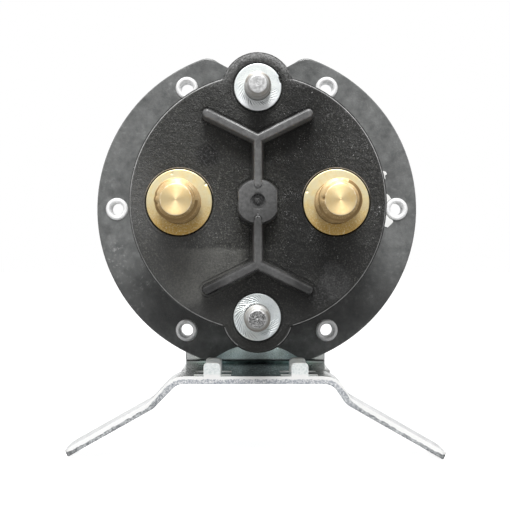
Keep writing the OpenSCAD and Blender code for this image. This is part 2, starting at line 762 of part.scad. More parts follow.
module pole_core() color("#92979c") difference() {
    union() {
        rod(plunger_r, bobbin_y, core_end_y);
        rod(core_neck_r, flux_y - 1.2, bobbin_y);
        rod(core_neck_r + 0.3, flux_y - 1.2, flux_y, core_neck_r + 0.9);
    }
    rod(shaft_r + run_gap, flux_y - 3, core_end_y + 1);
    rod(pocket_r, core_end_y - spring_pocket, core_end_y + 1);
}

module guide_tube() color("#b08d45") difference() {
    rod(tube_r, bobbin_y, can_floor_y);
    rod(tube_in_r, bobbin_y - 1, can_floor_y + 1);
}

module bobbin() color("#e6e1d2") difference() {
    union() {
        rod(bobbin_r, bobbin_y, rear_flux_y);
        rod(plate_r, bobbin_y, bobbin_y + bobbin_flange);
        rod(plate_r, rear_flux_y - bobbin_flange, rear_flux_y);
    }
    rod(bobbin_in_r, bobbin_y - 1, rear_flux_y + 1);
    for (s = [-1, 1]) translate([0, 0, s * lead_z])
        rod(lead_r + 0.2, bobbin_y - 1, bobbin_y + bobbin_flange + 1);
}

module coil_winding() color("#a8552a") difference() {
    rod(winding_r, bobbin_y + bobbin_flange, rear_flux_y - bobbin_flange);
    rod(bobbin_r, bobbin_y, rear_flux_y);
}

module coil_wrap() color("#d8b45a") difference() {
    rod(wrap_r, bobbin_y + bobbin_flange, rear_flux_y - bobbin_flange);
    rod(winding_r, bobbin_y, rear_flux_y);
}

// Dished washer that takes up play behind the rear plate
module spring_washer() color("#777b80") turned() polygon([
    [tube_r + 1, spring_washer_y + 0.4], [tube_r + 1, can_floor_y],
    [tube_r + 5, spring_washer_y + 0.4], [tube_r + 5, spring_washer_y]
]);

terminal_cap();
cap_gasket();
coil_can();
bracket();
eyelets();
main_terminal_left();
main_terminal_right();
main_collars();
main_seals();
coil_stud_top();
coil_stud_bottom();
coil_washers();
coil_seals();
coil_lead_top();
coil_lead_bottom();
contact_disc();
insulator_front();
insulator_rear();
contact_spring();
spring_seat();
shaft_clip();
plunger_shaft();
plunger();
return_spring();
chamber_divider();
front_flux_plate();
rear_flux_plate();
pole_core();
guide_tube();
bobbin();
coil_winding();
coil_wrap();
spring_washer();
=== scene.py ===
import json
import math
from collections import namedtuple

import bmesh
import bpy
import numpy as np
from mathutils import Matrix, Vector


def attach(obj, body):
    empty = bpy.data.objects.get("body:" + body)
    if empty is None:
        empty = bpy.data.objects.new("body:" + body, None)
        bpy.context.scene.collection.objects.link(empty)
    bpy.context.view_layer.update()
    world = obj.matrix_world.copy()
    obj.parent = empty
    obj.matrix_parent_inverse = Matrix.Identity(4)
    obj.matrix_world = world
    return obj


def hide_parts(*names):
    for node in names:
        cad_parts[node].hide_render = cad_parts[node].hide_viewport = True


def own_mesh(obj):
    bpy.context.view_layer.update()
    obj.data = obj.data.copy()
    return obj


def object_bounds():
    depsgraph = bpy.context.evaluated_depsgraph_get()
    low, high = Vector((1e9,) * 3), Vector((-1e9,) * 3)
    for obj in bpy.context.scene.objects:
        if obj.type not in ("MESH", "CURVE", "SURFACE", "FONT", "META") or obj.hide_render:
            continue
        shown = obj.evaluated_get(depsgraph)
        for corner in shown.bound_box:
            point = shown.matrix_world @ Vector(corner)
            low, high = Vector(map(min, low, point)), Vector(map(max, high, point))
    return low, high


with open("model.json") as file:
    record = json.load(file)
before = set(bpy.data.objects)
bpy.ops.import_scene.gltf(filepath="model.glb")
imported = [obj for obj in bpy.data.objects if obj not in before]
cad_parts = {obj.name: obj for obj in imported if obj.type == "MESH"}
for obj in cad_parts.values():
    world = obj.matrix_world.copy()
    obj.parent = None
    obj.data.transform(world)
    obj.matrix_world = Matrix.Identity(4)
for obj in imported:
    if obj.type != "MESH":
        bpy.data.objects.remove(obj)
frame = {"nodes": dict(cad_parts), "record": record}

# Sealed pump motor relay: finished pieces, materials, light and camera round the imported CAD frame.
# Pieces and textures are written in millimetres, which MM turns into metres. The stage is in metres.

cad_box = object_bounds()
nodes = frame["nodes"]
MM = 0.001
TAU = 2 * math.pi

# Places and sizes that part.scad gives, in millimetres
MAIN_X = 14.3                   # main studs, on both sides of the relay's axis
COIL_Z = 20.9                   # coil studs, above and below the axis
CAP_R = 23.55
FACE_Y = 0.4
LIP_Y = FACE_Y - 0.15           # lips round the recesses
RIB_Y = FACE_Y - 5.0            # tops of the ribs
HUB_Y = RIB_Y + 0.3             # face of the hub
FLANGE_Y = 38.4
EYELET_R = 28.9
HEAD_FLAT = 4.9                 # half the width across the flats of a main stud's head
COLLAR_R, COLLAR_T = 6.0, 2.0
LEG_TOP_Z = -32.09
LEG_FRONT_Y = 5.9

# Camera of the photograph: place in metres, lens and sensor in millimetres, shift in frame widths
CAMERA_PLACE = (-0.0015, -0.2796, -0.0104)
CAMERA_SHIFT = (0.0108, 0.0086)
CAMERA_LENS, CAMERA_SENSOR = 108.56, 36

FLOOR_HALF = 4.0                # metres
FLOOR_GAP = 0.05 * MM           # below the tips of the feet


# Mesh helpers

def add_mesh(name, points_mm, faces, body="housing", smooth=40):
    """A new piece from points in millimetres, smooth-shaded below an angle in degrees."""
    mesh = bpy.data.meshes.new(name)
    mesh.from_pydata((np.asarray(points_mm, float) * MM).tolist(), [], faces)
    mesh.validate()
    piece = bpy.data.objects.new(name, mesh)
    bpy.context.scene.collection.objects.link(piece)
    weld_and_smooth(mesh, smooth)
    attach(piece, body)
    return piece


def weld_and_smooth(mesh, smooth):
    """Welds a mesh, turns its faces outwards and smooths it below an angle in degrees."""
    work = bmesh.new()
    work.from_mesh(mesh)
    bmesh.ops.remove_doubles(work, verts=work.verts, dist=1e-7)
    bmesh.ops.dissolve_degenerate(work, edges=work.edges, dist=1e-7)
    bmesh.ops.recalc_face_normals(work, faces=work.faces)
    work.to_mesh(mesh)
    work.free()
    mesh.shade_smooth()
    mesh.set_sharp_from_angle(angle=math.radians(smooth))
    mesh.update()


def grid_faces(rows, columns, closed=True):
    """Quads between the points of a grid. Closed rows meet themselves round an axis."""
    return [
        (i * columns + j, i * columns + (j + 1) % columns,
         (i + 1) * columns + (j + 1) % columns, (i + 1) * columns + j)
        for i in range(rows - 1) for j in range(columns if closed else columns - 1)
    ]


def points_round(centre, x, y, z):
    """Points from arrays of x and z, which count from a centre [x, z], and of y."""
    x, y, z = np.broadcast_arrays(centre[0] + x, y, centre[1] + z)
    return np.stack([x, y, z], axis=-1)


def lathe(name, profile, columns, centre, change):
    """A turned ring from a closed profile of [radius, y], after change(r, y, angle)."""
    profile = np.asarray(profile + profile[:1], float)
    angle = np.linspace(0, TAU, columns, endpoint=False)
    r = np.repeat(profile[:, :1], columns, axis=1)
    y = np.repeat(profile[:, 1:], columns, axis=1)
    r, y = change(r, y, np.repeat(angle[None, :], len(profile), axis=0))
    points = points_round(centre, r * np.cos(angle), y, r * np.sin(angle))
    return add_mesh(name, points.reshape(-1, 3), grid_faces(len(profile), columns))


def bevelled_copy(name, node, widths, paint, most, wear_and_highlight=-1):
    """A copy of a CAD node whose sharp outer edges are rounded by widths(edge) millimetres, up to most.
    paint gives a face's material index, and wear_and_highlight that of the rounded edges."""
    mesh = bpy.data.meshes.new(name)
    work = bmesh.new()
    work.from_mesh(nodes[node].data)
    bmesh.ops.remove_doubles(work, verts=work.verts, dist=2e-6)
    bmesh.ops.dissolve_degenerate(work, edges=work.edges, dist=5e-6)
    bmesh.ops.dissolve_limit(work, angle_limit=math.radians(0.3), verts=work.verts, edges=work.edges)
    weight = work.edges.layers.float.new("bevel_weight_edge")
    for face in work.faces:
        face.material_index = paint(face)
        face.smooth = True
    for edge in work.edges:
        steep = len(edge.link_faces) == 2 and edge.calc_face_angle() > math.radians(30)
        wide = widths(edge) if steep and edge.is_convex else 0.0
        edge[weight] = wide / most
        edge.smooth = not steep or wide > 0
    work.to_mesh(mesh)
    work.free()
    piece = bpy.data.objects.new(name, mesh)
    bpy.context.scene.collection.objects.link(piece)
    bevel = piece.modifiers.new("rounded_edges", "BEVEL")
    bevel.width = most * MM
    bevel.segments = 3
    bevel.limit_method = "WEIGHT"
    bevel.use_clamp_overlap = False
    bevel.material = wear_and_highlight
    piece.modifiers.new("plain_polygons", "TRIANGULATE").min_vertices = 5
    normals = piece.modifiers.new("flat_faces", "WEIGHTED_NORMAL")
    normals.keep_sharp = True
    normals.weight = 100
    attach(piece, "housing")
    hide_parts(node)
    return piece


def edge_middle(edge):
    """Middle of a mesh edge, in millimetres."""
    return (edge.verts[0].co + edge.verts[1].co) / 2 / MM


def smooth_step(value):
    """0 below 0, 1 above 1, and a smooth rise between."""
    t = np.clip(value, 0, 1)
    return t * t * (3 - 2 * t)


def angle_from(angle, degrees):
    """How far an angle lies from a direction in degrees, the shorter way round, in radians."""
    return np.abs((angle - math.radians(degrees) + math.pi) % TAU - math.pi)


# Node helpers

def grey(value):
    return (value, value, value, 1.0)


def colour(r, g, b):
    return (r, g, b, 1.0)


def scaled(base, *factors):
    """A colour [r, g, b] times one factor, or one for each channel."""
    return colour(*(c * k for c, k in zip(base, factors * (3 // len(factors)))))


class Nodes:
    """A node tree, with short calls for the nodes that are used over and over."""

    def __init__(self, tree):
        self.tree = tree

    def set(self, target, **sockets):
        """Links or sets inputs of a node. A name's spaces are written _, and _0 is the first input."""
        for key, value in sockets.items():
            key = int(key[1:]) if key[0] == "_" else key.replace("_", " ")
            if isinstance(value, bpy.types.NodeSocket):
                self.tree.links.new(value, target.inputs[key])
            else:
                target.inputs[key].default_value = value

    def node(self, kind, output=0, props=None, **sockets):
        """Adds a node and gives one of its outputs."""
        made = self.tree.nodes.new("ShaderNode" + kind)
        for key, value in (props or {}).items():
            setattr(made, key, value)
        self.set(made, **sockets)
        return made.outputs[output]

    def ray(self, kind):
        """1 on rays of a kind: Camera, Glossy, Transmission or Diffuse."""
        return self.node("LightPath", f"Is {kind} Ray")

    def math(self, operation, a, b=0.0, c=0.0):
        return self.node("Math", 0, {"operation": operation}, _0=a, _1=b, _2=c)

    def chain(self, operation, first, *others):
        for value in others:
            first = self.math(operation, first, value)
        return first

    def plus(self, *values):
        return self.chain("ADD", *values)

    def times(self, *values):
        return self.chain("MULTIPLY", *values)

    def most(self, *values):
        return self.chain("MAXIMUM", *values)

    def absolute(self, value):
        return self.math("ABSOLUTE", value)

    def vector(self, operation, a, b=(0.0, 0.0, 0.0), output=0):
        """Output 0 is a vector, and output 1 the number that LENGTH and DISTANCE give."""
        return self.node("VectorMath", output, {"operation": operation}, _0=a, _1=b)

    def fit(self, value, low, high, to_low=0.0, to_high=1.0, smooth=False):
        """Maps low..high to to_low..to_high, and stays at either end beyond."""
        shape = {"interpolation_type": "SMOOTHSTEP" if smooth else "LINEAR"}
        return self.node("MapRange", 0, shape, _0=value, _1=low, _2=high, _3=to_low, _4=to_high)

    def mix(self, factor, a, b, kind="MIX"):
        """Mixes two colours."""
        return self.node("Mix", 2, {"data_type": "RGBA", "blend_type": kind}, _0=factor, _6=a, _7=b)

    def blend(self, factor, a, b):
        """Mixes two numbers."""
        return self.node("Mix", 0, _0=factor, _2=a, _3=b)


class Finish(Nodes):
    """A node material, with textures in millimetres."""

    def __init__(self, name, **sockets):
        self.material = bpy.data.materials.new(name)
        self.material.use_nodes = True
        super().__init__(self.material.node_tree)
        self.bsdf = self.tree.nodes["Principled BSDF"]
        self.set(self.bsdf, **sockets)
        self.place = self.node("TexCoord", "Object")

    def axis(self, index):
        """One coordinate in millimetres."""
        return self.times(self.node("SeparateXYZ", index, Vector=self.place), 1 / MM)

    def from_spot(self, x, z, squeeze=1.0):
        """Distance from x, z, seen from the front. squeeze makes the spot narrower along X."""
        flat = self.vector("MULTIPLY", self.place, (squeeze, 0.0, 1.0))
        away = self.vector("DISTANCE", flat, (squeeze * x * MM, 0.0, z * MM), output=1)
        return self.times(away, 1 / MM)

    def noise(self, size, detail=3.0, roughness=0.5):
        """Noise whose blobs are about size across."""
        return self.node("TexNoise", 0, Vector=self.place, Scale=1 / (size * MM), Detail=detail,
                         Roughness=roughness)

    def cells(self, size):
        """Distance to the nearest of the points that lie scattered about size apart."""
        return self.node("TexVoronoi", "Distance", {"feature": "F1"}, Vector=self.place,
                         Scale=1 / (size * MM))

    def ragged(self, value, amount, size, detail=3.0, roughness=0.5):
        """A value plus noise times amount, so that what is cut from it gets a ragged outline."""
        return self.plus(value, self.times(self.noise(size, detail, roughness), amount))

    def bump(self, height, depth):
        """Relief of up to depth."""
        return self.node("Bump", 0, Height=height, Distance=depth * MM, Strength=1.0)


# Stage: camera, light, floor

camera = bpy.data.objects.new("camera", bpy.data.cameras.new("camera"))
camera.location = CAMERA_PLACE
camera.rotation_euler = (math.radians(90), 0, 0)
camera.data.sensor_width = CAMERA_SENSOR
camera.data.lens = CAMERA_LENS
camera.data.shift_x, camera.data.shift_y = CAMERA_SHIFT
camera.data.clip_start, camera.data.clip_end = 0.01, 20
bpy.context.scene.collection.objects.link(camera)
bpy.context.scene.camera = camera
bpy.context.scene.view_settings.view_transform = "Standard"


def area_light(name, place, aim, size, watts):
    """A white softbox of size [width, height] that points at aim."""
    light = bpy.data.lights.new(name, "AREA")
    light.shape = "RECTANGLE"
    light.size, light.size_y = size
    light.energy = watts
    lamp = bpy.data.objects.new(name, light)
    lamp.location = place
    lamp.rotation_euler = (Vector(aim) - Vector(place)).to_track_quat("-Z", "Y").to_euler()
    bpy.context.scene.collection.objects.link(lamp)


area_light("key_softbox", place=(-0.012, -0.33, 0.41), aim=(0, 0.01, 0), size=(0.20, 0.32), watts=3.0)
area_light("top_softbox", place=(0.0, 0.04, 0.52), aim=(0, 0.03, 0), size=(0.20, 0.30), watts=1.0)

# World: white for camera and glass rays, a weak even light for diffuse rays. Mirror rays see white towards
# +Y, and towards -Y, where the photographer stood, a room that is dimmer low down and at the right.
world = bpy.data.worlds.new("studio")
world.use_nodes = True
bpy.context.scene.world = world
sky = Nodes(world.node_tree)
direction = sky.node("TexCoord", "Generated")
across, along, up = (sky.node("SeparateXYZ", index, Vector=direction) for index in range(3))
dim_room = sky.fit(sky.math("MULTIPLY_ADD", across, -0.2, up), -0.1, 0.6, 0.22, 0.9, smooth=True)
mirrored = sky.blend(sky.fit(along, 0.0, 0.4, smooth=True), dim_room, 1.0)
seen = sky.most(sky.ray("Camera"), sky.ray("Transmission"), sky.times(sky.ray("Glossy"), mirrored))
strength = sky.most(seen, sky.times(sky.ray("Diffuse"), 0.12))
sky.set(sky.tree.nodes["Background"], Color=grey(1.0), Strength=strength)

# Floor at the tips of the feet: paper that shows whiter away from the relay
floor_z = cad_box[0][2] - FLOOR_GAP
corners = [(x * FLOOR_HALF, y * FLOOR_HALF, floor_z) for x, y in ((-1, -1), (1, -1), (1, 1), (-1, 1))]
floor_mesh = bpy.data.meshes.new("floor")
floor_mesh.from_pydata(corners, [], [(0, 1, 2, 3)])
floor = bpy.data.objects.new("floor", floor_mesh)
bpy.context.scene.collection.objects.link(floor)
paper = Finish("white_paper", Roughness=0.9)
whiter = paper.fit(paper.vector("LENGTH", paper.place, output=1), 0.08, 0.40, 0.87, 1.0, smooth=True)
direct = paper.times(paper.most(paper.ray("Camera"), paper.ray("Transmission")), whiter)
mirrored = paper.times(paper.ray("Glossy"), 0.15)
# Mirror rays see the paper dark, which paints a dim floor into the reflections.
paper.set(paper.bsdf, Base_Color=paper.mix(paper.ray("Glossy"), grey(0.8), grey(0.25)),
          Emission_Color=grey(1.0), Emission_Strength=paper.most(direct, mirrored))
floor_mesh.materials.append(paper.material)


# Materials

class CapMoulding(Finish):
    """Glass-filled black moulding of the terminal cap. Its methods give the tone or the mask of one part or
    mark each, and the limits of x, y and z in them are places on the cap."""

    def __init__(self, name):
        super().__init__(name)
        self.x, self.y, self.z = self.axis(0), self.axis(1), self.axis(2)
        self.clouds = self.noise(2.2, 4.0, 0.6)
        self.fine = self.noise(0.32, 4.0, 0.75)
        self.on_flange = self.fit(self.y, FLANGE_Y - 1.9, FLANGE_Y - 0.2, smooth=True)
        self.on_ribs = self.fit(self.y, FACE_Y - 1.0, LIP_Y - 0.1, 1.0, 0.0, smooth=True)
        below_studs = self.fit(self.ragged(self.z, 5.0, 5.0), -5.5, -4.6, 1.0, 0.0, smooth=True)
        self.smooth = self.times(below_studs, self.fit(self.x, 2.0, 12.0, 1.0, 0.6))
        self.clean = self.fit(self.z, -15.0, -5.0, 0.12, 1.0)
        self.ejectors = self.most(*(
            self.fit(self.ragged(self.from_spot(x, z), 0.5, 1.2), 1.8, 2.9, strength, 0.0)
            for x, z, strength in ((-9.1, 8.6, 1.0), (10.9, -17.2, 0.7))
        ))

    def face_tone(self):
        """The face: lighter at the left, with painted shade at the top and right, grain, glints, stains and
        two ejector marks.
        """
        x, z = self.x, self.z
        lighter_left = self.times(self.fit(x, -24.0, 12.0, 1.0, 0.0), self.fit(self.clouds, 0.3, 0.7, 0.5, 1.0))
        tone = self.mix(lighter_left, colour(0.007, 0.007, 0.0056), colour(0.026, 0.026, 0.0222))
        tone = self.mix(self.times(self.smooth, self.fit(x, -10.0, 8.0, 0.0, 0.6)), tone, grey(0.009))
        tone = self.mix(self.pale_left(), tone, grey(0.062))
        tone = self.mix(self.left_rim(), tone, grey(0.11))
        tone = self.mix(self.dried_patch(), tone, colour(0.128, 0.127, 0.118))
        grain = self.times(self.fit(self.fine, 0.525, 0.67), self.fit(z, -20.0, -14.0, 0.25, 1.0))
        tone = self.mix(grain, tone, colour(0.115, 0.115, 0.100))
        tone = self.mix(self.shade(), tone, grey(0.010))
        tone = self.mix(self.lobe_painted_highlight(), tone, grey(0.26))
        tone = self.mix(self.fibre_ends_and_glints(), tone, grey(0.33))
        smudged = self.mix(self.fit(self.fine, 0.40, 0.62), grey(0.030), grey(0.105))
        tone = self.mix(self.smudge(), tone, smudged)
        pressed = self.mix(self.fit(self.noise(0.4, 4.0, 0.75), 0.50, 0.64), grey(0.006), grey(0.085))
        return self.mix(self.ejectors, tone, pressed)

    def pale_left(self):
        """Paler from the left stud to the lower rib."""
        return self.times(self.fit(self.x, -17.0, -2.0, 0.75, 0.0), self.fit(self.z, 3.0, -2.0),
                          self.fit(self.x, -21.0, -17.0, 0.45, 1.0))

    def left_rim(self):
        """The lit strip between the left stud and the rim of the face."""
        from_middle = self.absolute(self.math("SUBTRACT", self.z, 1.5))
        return self.times(self.fit(from_middle, 3.0, 11.0, 0.5, 0.0), self.fit(self.x, -16.5, -20.5))

    def dried_patch(self):
        """A patch that something left as it dried, below the left stud."""
        patch = self.times(self.fit(self.ragged(self.z, 1.4, 3.0), -7.3, -8.0),
                           self.fit(self.math("MULTIPLY_ADD", self.x, -0.4945, self.z), -13.4, -11.6),
                           self.fit(self.x, -18.0, -12.0), self.fit(self.x, -3.5, -1.5, 1.0, 0.0))
        return self.times(patch, self.fit(self.fine, 0.38, 0.60, 0.45, 1.0),
                          self.fit(self.clouds, 0.3, 0.7, 0.7, 1.0))

    def shade(self):
        """Painted shade: darker towards the top of the face, and round the right stud."""
        right = self.times(self.fit(self.x, 2.5, 6.0, 0.0, 0.66), self.fit(self.x, 11.0, 15.0, 1.0, 0.58),
                           self.fit(self.z, -15.0, -11.5, 0.3, 1.0))
        return self.most(self.fit(self.z, 3.0, 12.0, 0.0, 0.42), right)

    def lobe_painted_highlight(self):
        """Painted highlight on the top lobe's rounded rim, round its recess."""
        outside = self.times(self.fit(self.from_spot(0.0, COIL_Z), 4.6, 6.2), self.fit(self.z, 20.5, 24.5),
                             self.fit(self.y, 1.2, 3.0, 1.0, 0.0))
        return self.times(outside, self.fit(self.noise(0.45, 4.0, 0.75), 0.42, 0.60, 0.1, 1.0))

    def fibre_ends_and_glints(self):
        """Ends of glass fibre that catch the light, in drifts, painted pale as glints."""
        drifts = self.fit(self.noise(3.0), 0.45, 0.65)
        return self.times(self.fit(self.noise(0.17, 2.0, 0.7), 0.625, 0.68), drifts, self.clean,
                          self.fit(self.x, -14.0, 6.0, 0.6, 1.0))

    def smudge(self):
        """A grey smudge below the right stud."""
        return self.fit(self.ragged(self.from_spot(14.17, -14.5, 1.2), 3.0, 3.0), 4.2, 5.4, 0.6, 0.0)

    def rib_tone(self):
        """The ribs, with painted light and shade: lighter towards the upper left and on the lower arms,
        whose ends are dark.
        """
        x, z = self.x, self.z
        lit = self.fit(self.math("MULTIPLY_ADD", x, -0.4, z), -3.5, 3.0, 0.60, 1.28)
        ends = self.fit(self.absolute(x), 4.8, 7.4, 1.0, 0.22)
        lit = self.times(self.plus(lit, self.fit(z, -4.0, -8.0, 0.0, 0.30)),
                         self.blend(self.fit(z, -9.0, -11.0), 1.0, ends),
                         self.fit(self.noise(0.7, 4.0, 0.7), 0.35, 0.65, 0.70, 1.26))
        lit_grey = self.node("CombineColor", 0, _0=lit, _1=lit, _2=lit)
        return self.mix(1.0, self.mix(self.clouds, grey(0.070), grey(0.104)), lit_grey, "MULTIPLY")

    def flange_tone(self):
        """The flange: greyer than the face, with painted shadow of the cap low down at its sides, scuffed
        mostly at the left.
        """
        tone = self.mix(self.fit(self.clouds, 0.32, 0.68), colour(0.108, 0.112, 0.111),
                        colour(0.200, 0.205, 0.202))
        # Painted shadow of the cap, low down on both sides of the flange.
        low = self.times(self.fit(self.z, -9.0, -17.0), self.fit(self.z, -27.0, -23.0), 0.62)
        tone = self.mix(low, tone, grey(0.028))
        knock = self.fit(self.from_spot(-29.43, -9.8, 1.4), 2.0, 5.0, 1.0, 0.0)
        places = self.most(self.fit(self.noise(7.0, 2.0), 0.48, 0.62, 0.0, 0.7), knock)
        scuffs = self.times(self.fit(self.noise(1.1, 5.0, 0.72), 0.55, 0.66), places,
                            self.fit(self.x, -12.0, 0.0, 1.0, 0.3), 0.85)
        tone = self.mix(scuffs, tone, grey(0.34))
        return self.mix(self.fit(self.noise(5.0, 4.0, 0.65), 0.50, 0.70, 0.0, 0.5), tone, grey(0.060))

    def gate_mark(self):
        """Where the gate broke off, in the middle of the hub."""
        spot = self.fit(self.ragged(self.from_spot(0.13, 0.38), 0.6, 0.8), 1.35, 1.6, 1.0, 0.0)
        return self.times(spot, self.on_ribs)

    def specks(self):
        """Pale specks, few where the face is clean or at the left, and none on the ribs."""
        found = self.fit(self.ragged(self.noise(0.36, 2.0, 0.6), 0.25, 4.0, 2.0), 0.835, 0.86)
        off_face = self.most(self.on_ribs, self.times(self.on_flange, 0.85))
        return self.times(found, self.fit(self.x, -20.0, 16.0, 0.5, 1.0),
                          self.blend(off_face, self.clean, 0.0))

    def wear_and_highlight_tone(self, tone, wear_and_highlight):
        """Edge wear and painted highlight, up to wear_and_highlight: paler higher up, warm on lip tops by
        the main studs.
        """
        from_middle = self.absolute(self.math("SUBTRACT", self.z, 5.5))
        # Warm painted highlight on the top of the lip beside each main stud.
        lips = self.times(self.fit(self.y, 0.34, 0.37, 1.0, 0.0), self.fit(from_middle, 2.5, 4.5, 1.0, 0.0),
                          self.fit(self.y, 0.0, 0.1, 0.0, 0.9))
        tone = self.mix(lips, tone, colour(0.55, 0.48, 0.45))
        # Pale by rubbing, and a painted highlight that is paler higher up.
        rubbing_and_highlight = self.fit(self.noise(1.2, 4.0, 0.7), 0.3, 0.6, wear_and_highlight * 0.4, wear_and_highlight)
        return self.mix(rubbing_and_highlight, tone, self.mix(self.fit(self.z, -8.0, 8.0), grey(0.33), grey(0.58)))

    def gloss(self):
        """Specular level, lower in a strip through the right stud and on the ejector marks."""
        strip = self.times(self.fit(self.x, 2.0, 5.5), self.fit(self.x, 17.0, 12.0),
                           self.fit(self.z, -15.0, -11.5))
        return self.fit(self.most(strip, self.times(self.ejectors, 0.75)), 0.0, 1.0, 0.5, 0.3)

    def relief(self):
        """Tool texture, shallower on the flange, the ribs and the smooth part of the face."""
        quiet = self.most(self.on_flange, self.on_ribs, self.times(self.smooth, 0.6))
        return self.times(self.ragged(self.fine, 0.9, 0.8, 2.0), self.blend(quiet, 1.0, 0.3))


def black_moulding(name="black_moulding", wear_and_highlight=0.0):
    """Moulding of the terminal cap. wear_and_highlight lightens and polishes it, for edges, with painted
    highlight.
    """
    f = CapMoulding(name)
    tone = f.mix(f.on_flange, f.mix(f.on_ribs, f.face_tone(), f.rib_tone()), f.flange_tone())
    tone = f.mix(f.gate_mark(), tone, f.mix(f.fit(f.fine, 0.5, 0.7), grey(0.003), grey(0.09)))
    tone = f.mix(f.specks(), tone, grey(0.45))
    if wear_and_highlight:
        tone = f.wear_and_highlight_tone(tone, wear_and_highlight)
    low, high = (0.20, 0.30) if wear_and_highlight else (0.36, 0.50)
    f.set(f.bsdf, Base_Color=tone, Roughness=f.fit(f.clouds, 0.3, 0.7, low, high),
          Specular_IOR_Level=0.5 if wear_and_highlight else f.gloss(), Normal=f.bump(f.relief(), 0.02 if wear_and_highlight else 0.17))
    return f.material


def zinc(name, base=(0.74, 0.78, 0.80), roughness=0.3, metallic=1.0, marks=None, lumps=0.006):
    """Bright zinc plate with soft clouds and slight lumps. marks(finish, tone) adds a piece's own marks and
    painted light.
    """
    f = Finish(name, Metallic=metallic)
    tone = f.mix(f.fit(f.noise(6.0, 3.0, 0.6), 0.35, 0.65), colour(*base), scaled(base, 1.02, 1.0, 0.95))
    if marks:
        tone = marks(f, tone)
    rough = f.fit(f.noise(1.5, 4.0), 0.3, 0.7, roughness - 0.06, roughness + 0.08)
    f.set(f.bsdf, Base_Color=tone, Roughness=rough, Normal=f.bump(f.noise(0.5), lumps))
    return f.material


def washer_marks_and_light(grooves):
    """Marks of a coil stud's washer: scuffs, painted light below the top one's stud, and the bottoms of the
    serrations darker by grooves."""
    def marks(f, tone):
        y, z = f.axis(1), f.axis(2)
        scuffs = f.times(f.fit(f.noise(0.30, 4.0, 0.72), 0.50, 0.64),
                         f.fit(f.noise(1.6), 0.38, 0.62, 0.15, 0.6))
        tone = f.mix(scuffs, tone, colour(0.50, 0.57, 0.60))
        # Painted light below the top washer's stud, where the stud's shadow falls.
        painted_light_below_stud = f.times(f.fit(z, COIL_Z - 0.5, COIL_Z - 3.0), f.fit(z, 10.0, 12.0))
        tone = f.mix(painted_light_below_stud, tone, colour(0.97, 0.99, 1.0))
        return f.mix(f.fit(y, -0.27, -0.20, 0.0, grooves), tone, colour(0.16, 0.17, 0.18))
    return marks


def sheet_tone_and_reflections(f, tone):
    """Bracket tone: painted dark reflection in the middle, warm painted reflection at the leg's ends, pale
    on the feet.
    """
    aside = f.absolute(f.axis(0))
    # Painted dark reflection down the middle of the bracket.
    tone = f.mix(f.fit(aside, 1.2, 4.2, 0.45, 0.0, smooth=True), tone, grey(0.10))
    # Warm painted reflection towards the ends of the leg.
    tone = f.mix(f.fit(aside, 9.0, 12.5, 0.0, 0.45), tone, colour(0.97, 0.95, 0.80))
    return f.mix(f.fit(aside, 11.0, 15.0), tone, colour(0.92, 0.93, 0.93))


def metal(name, base, roughness):
    """Drawn or machined metal with a fine grain."""
    grain, depth = 0.15, 0.004
    f = Finish(name, Metallic=1.0)
    tone = f.mix(f.noise(3.0), scaled(base, 0.93), colour(*base))
    rough = f.fit(f.noise(grain * 6), 0.3, 0.7, roughness - 0.05, roughness + 0.07)
    f.set(f.bsdf, Base_Color=tone, Roughness=rough, Normal=f.bump(f.noise(grain, 2.0), depth))
    return f.material


def moulding(name, base, roughness):
    """Plain moulded plastic or rubber with a soft skin."""
    f = Finish(name)
    tone = f.mix(f.noise(2.5), scaled(base, 0.9), colour(*base))
    rough = f.fit(f.noise(1.0), 0.3, 0.7, roughness - 0.05, roughness + 0.05)
    f.set(f.bsdf, Base_Color=tone, Roughness=rough, Normal=f.bump(f.noise(0.3), 0.01))
    return f.material


def rolled_rim(name):
    """Satin plating of the eyelets, more mirror-like on the lower ones."""
    f = Finish(name)
    low = f.fit(f.axis(2), -5.0, -15.0)
    f.set(f.bsdf, Base_Color=f.mix(f.noise(3.0), grey(0.93), grey(0.99)), Metallic=f.blend(low, 0.2, 0.6),
          Roughness=f.blend(low, 0.6, 0.5), Normal=f.bump(f.noise(0.3, 2.0), 0.02))
    return f.material


